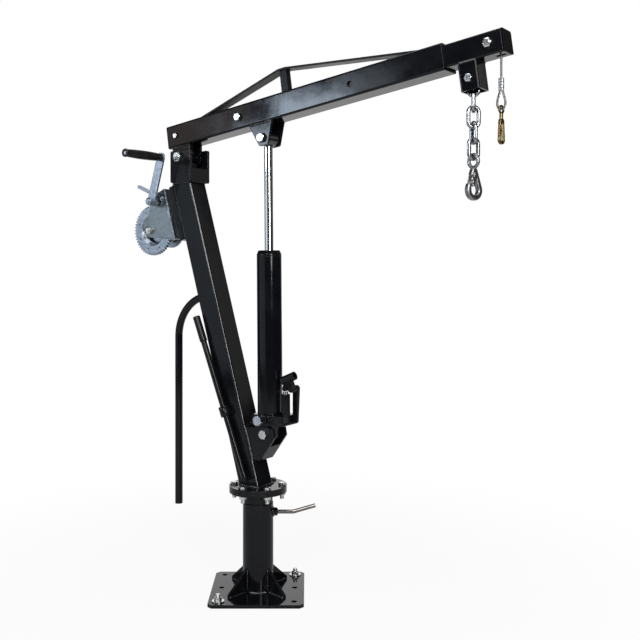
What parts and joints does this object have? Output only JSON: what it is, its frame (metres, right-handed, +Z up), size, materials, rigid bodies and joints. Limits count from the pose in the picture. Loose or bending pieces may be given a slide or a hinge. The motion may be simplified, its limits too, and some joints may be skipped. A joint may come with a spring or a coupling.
{
  "type": "pickup truck crane",
  "caption": "Swivelling pickup truck crane: bolted post, leaning mast, telescopic boom raised by a hand-pumped ram, hand winch with wire cable, and a chain with a load hook.",
  "frame": {"origin": "on the swivel axis, at the underside of the base plate", "axes": "+Z up along the post; X and Y square to the base plate's edges, -Y towards the pictured front"},
  "size_m": [0.9014, 0.6446, 1.3056],
  "materials": {
    "black_paint": "gloss powder coat",
    "bright_zinc": "bright zinc plate",
    "galvanised_steel": "zinc plated sheet",
    "wire_cable": "stranded wire cable",
    "aluminium_ferrule": "pressed sleeve",
    "polished_rod": "ground and polished",
    "chain_steel": "zinc plated forging",
    "yellow_zinc": "yellow passivated zinc",
    "black_plastic": "moulded"
  },
  "bodies": {
    "base": {"base_plate": "black_paint", "post_tube": "black_paint", "post_gussets": "black_paint", "thrust_ring": "bright_zinc", "anchor_bolts": "bright_zinc"},
    "lock_screw": {"lock_screw": "bright_zinc"},
    "upper_works": {"swivel_spigot": "black_paint", "mast_flange": "black_paint", "flange_bolts": "bright_zinc", "mast_tube": "black_paint", "mast_head": "black_paint", "pivot_bolts": "bright_zinc", "ram_foot_bracket": "black_paint", "swing_handle": "black_paint", "handle_clip": "black_paint", "winch_mount": "black_paint", "winch_frame": "galvanised_steel", "winch_fasteners": "bright_zinc", "cable_rise": "wire_cable"},
    "pump_handle": {"pump_handle": "black_paint"},
    "winch_drum": {"drum_gear": "galvanised_steel", "cable_drum": "galvanised_steel", "cable_winding": "wire_cable"},
    "winch_crank": {"pinion_shaft": "galvanised_steel", "crank_arm": "galvanised_steel"},
    "crank_grip": {"crank_grip": "black_plastic"},
    "ratchet_pawl": {"ratchet_pawl": "galvanised_steel"},
    "boom": {"boom_tube": "black_paint", "boom_lugs": "black_paint", "ram_ears": "black_paint", "boom_truss": "black_paint", "boom_bolts": "bright_zinc", "boom_cable": "wire_cable"},
    "rear_sheave": {"rear_sheave": "galvanised_steel"},
    "boom_inner": {"inner_tube": "black_paint", "tip_plug": "black_plastic", "chain_box": "black_paint", "tip_bolts": "bright_zinc", "tip_cable": "wire_cable"},
    "tip_sheave": {"tip_sheave": "galvanised_steel"},
    "cable_end": {"cable_end": "wire_cable", "cable_ferrule": "aluminium_ferrule"},
    "snap_hook": {"snap_hook": "yellow_zinc"},
    "snap_gate": {"snap_gate": "yellow_zinc"},
    "ram": {"ram_cylinder": "black_paint", "ram_gland": "black_paint", "ram_base": "black_paint", "pump_link": "black_paint"},
    "ram_rod": {"ram_rod": "polished_rod"},
    "pump_lever": {"pump_socket": "black_paint"},
    "pump_plunger": {"pump_plunger": "polished_rod"},
    "release_valve": {"release_valve": "black_plastic"},
    "lifting_hook": {"lifting_hook": "chain_steel"},
    "hook_latch": {"hook_latch": "chain_steel"},
    "chain_link_1": {"chain_link_1": "chain_steel"},
    "chain_link_2": {"chain_link_2": "chain_steel"},
    "chain_link_3": {"chain_link_3": "chain_steel"},
    "chain_link_4": {"chain_link_4": "chain_steel"},
    "chain_link_5": {"chain_link_5": "chain_steel"}
  },
  "joints": [
    {"name": "swing", "type": "hinge", "parent": "base", "child": "upper_works", "pos_m": [0, 0, 0], "axis": [0, 0, 1], "continuous": true},
    {"name": "lock_turn", "type": "hinge", "parent": "base", "child": "lock_screw", "pos_m": [0.1, 0, 0.198], "axis": [1, 0, 0], "continuous": true},
    {"name": "luff", "type": "hinge", "parent": "upper_works", "child": "boom", "pos_m": [-0.19186, 0.13434, 1.09539], "axis": [-0.5736, -0.8192, 0], "range_deg": [-18, 20], "deforming": ["cable_rise"]},
    {"name": "extension", "type": "slide", "parent": "boom", "child": "boom_inner", "axis": [0.8112, -0.568, 0.1392], "range_m": [0, 0.332]},
    {"name": "rear_sheave_spin", "type": "hinge", "parent": "boom", "child": "rear_sheave", "pos_m": [-0.20635, 0.14449, 1.15299], "axis": [0.5736, 0.8192, 0], "continuous": true},
    {"name": "tip_sheave_spin", "type": "hinge", "parent": "boom_inner", "child": "tip_sheave", "pos_m": [0.51236, -0.35876, 1.2763], "axis": [0.5736, 0.8192, 0], "continuous": true},
    {"name": "ram_tilt", "type": "hinge", "parent": "upper_works", "child": "ram", "pos_m": [0.03142, -0.022, 0.39885], "axis": [-0.5736, -0.8192, 0], "range_deg": [-1.38, 1.38]},
    {"name": "rod_slide", "type": "slide", "parent": "ram", "child": "ram_rod", "axis": [-0.0071, 0.0049, 1], "range_m": [-0.0908, 0.0953]},
    {"name": "pump_rock", "type": "hinge", "parent": "ram", "child": "pump_lever", "pos_m": [0.08633, -0.06045, 0.51174], "axis": [0.5736, 0.8192, 0], "range_deg": [0, 30]},
    {"name": "plunger_stroke", "type": "slide", "parent": "ram", "child": "pump_plunger", "axis": [-0.0071, 0.0049, 1], "range_m": [0, 0.012]},
    {"name": "valve_turn", "type": "hinge", "parent": "ram", "child": "release_valve", "pos_m": [0.01607, -0.05032, 0.43689], "axis": [0.5736, 0.8192, 0], "range_deg": [-180, 90]},
    {"name": "handle_draw", "type": "slide", "parent": "upper_works", "child": "pump_handle", "axis": [-0.3069, 0.2149, 0.9272], "range_m": [0, 0.17]},
    {"name": "drum_spin", "type": "hinge", "parent": "upper_works", "child": "winch_drum", "pos_m": [-0.26876, 0.18819, 0.9055], "axis": [0.5736, 0.8192, 0], "continuous": true, "deforming": ["cable_rise"]},
    {"name": "crank_spin", "type": "hinge", "parent": "upper_works", "child": "winch_crank", "pos_m": [-0.24902, 0.17437, 0.97968], "axis": [0.5736, 0.8192, 0], "continuous": true},
    {"name": "grip_spin", "type": "hinge", "parent": "winch_crank", "child": "crank_grip", "pos_m": [-0.29213, 0.05318, 1.09366], "axis": [0.5736, 0.8192, 0], "continuous": true},
    {"name": "pawl_lift", "type": "hinge", "parent": "upper_works", "child": "ratchet_pawl", "pos_m": [-0.25812, 0.11604, 0.98768], "axis": [0.5736, 0.8192, 0], "range_deg": [0, 25], "stiffness_Nm_per_rad": 0.3, "springref_deg": -17.19},
    {"name": "chain_link_1_swing", "type": "hinge", "parent": "boom_inner", "child": "chain_link_1", "pos_m": [0.47626, -0.33348, 1.20901], "axis": [0.5736, 0.8192, 0], "range_deg": [-12, 1]},
    {"name": "chain_link_2_swing", "type": "hinge", "parent": "chain_link_1", "child": "chain_link_2", "pos_m": [0.47626, -0.33348, 1.17581], "axis": [0.9205, -0.3907, 0], "range_deg": [-30, 30]},
    {"name": "chain_link_3_swing", "type": "hinge", "parent": "chain_link_2", "child": "chain_link_3", "pos_m": [0.47626, -0.33348, 1.14211], "axis": [0.1908, 0.9816, 0], "range_deg": [-30, 30]},
    {"name": "chain_link_4_swing", "type": "hinge", "parent": "chain_link_3", "child": "chain_link_4", "pos_m": [0.47626, -0.33348, 1.10841], "axis": [0.9998, 0.0175, 0], "range_deg": [-30, 30]},
    {"name": "chain_link_5_swing", "type": "hinge", "parent": "chain_link_4", "child": "chain_link_5", "pos_m": [0.47626, -0.33348, 1.07471], "axis": [-0.225, 0.9744, 0], "range_deg": [-30, 30]},
    {"name": "hook_swing", "type": "hinge", "parent": "chain_link_5", "child": "lifting_hook", "pos_m": [0.47626, -0.33348, 1.04101], "axis": [0.9336, 0.3584, 0], "range_deg": [-30, 30]},
    {"name": "latch_open", "type": "hinge", "parent": "lifting_hook", "child": "hook_latch", "pos_m": [0.47708, -0.33291, 1.00831], "axis": [0.5736, -0.8192, 0], "range_deg": [0, 18], "stiffness_Nm_per_rad": 0.05, "springref_deg": -22.92},
    {"name": "cable_swing", "type": "hinge", "parent": "boom_inner", "child": "cable_end", "pos_m": [0.52751, -0.36937, 1.25517], "axis": [0.5736, 0.8192, 0], "range_deg": [-20, 10]},
    {"name": "snap_swing", "type": "hinge", "parent": "cable_end", "child": "snap_hook", "pos_m": [0.52751, -0.36937, 1.14217], "axis": [0.8192, -0.5736, 0], "range_deg": [-30, 30]},
    {"name": "gate_open", "type": "hinge", "parent": "snap_hook", "child": "snap_gate", "pos_m": [0.52405, -0.37283, 1.10947], "axis": [0.7071, -0.7071, 0], "range_deg": [0, 14], "stiffness_Nm_per_rad": 0.02, "springref_deg": -22.92}
  ],
  "couplings": [
    {"joint": "ram_tilt", "follows": "luff", "ratio": 0.044},
    {"joint": "rod_slide", "follows": "luff", "m_per_rad": 0.26},
    {"joint": "crank_spin", "follows": "drum_spin", "ratio": -5},
    {"joint": "rear_sheave_spin", "follows": "drum_spin", "ratio": -1.6},
    {"joint": "tip_sheave_spin", "follows": "drum_spin", "ratio": -1.6},
    {"joint": "plunger_stroke", "follows": "pump_rock", "m_per_rad": 0.019099}
  ]
}
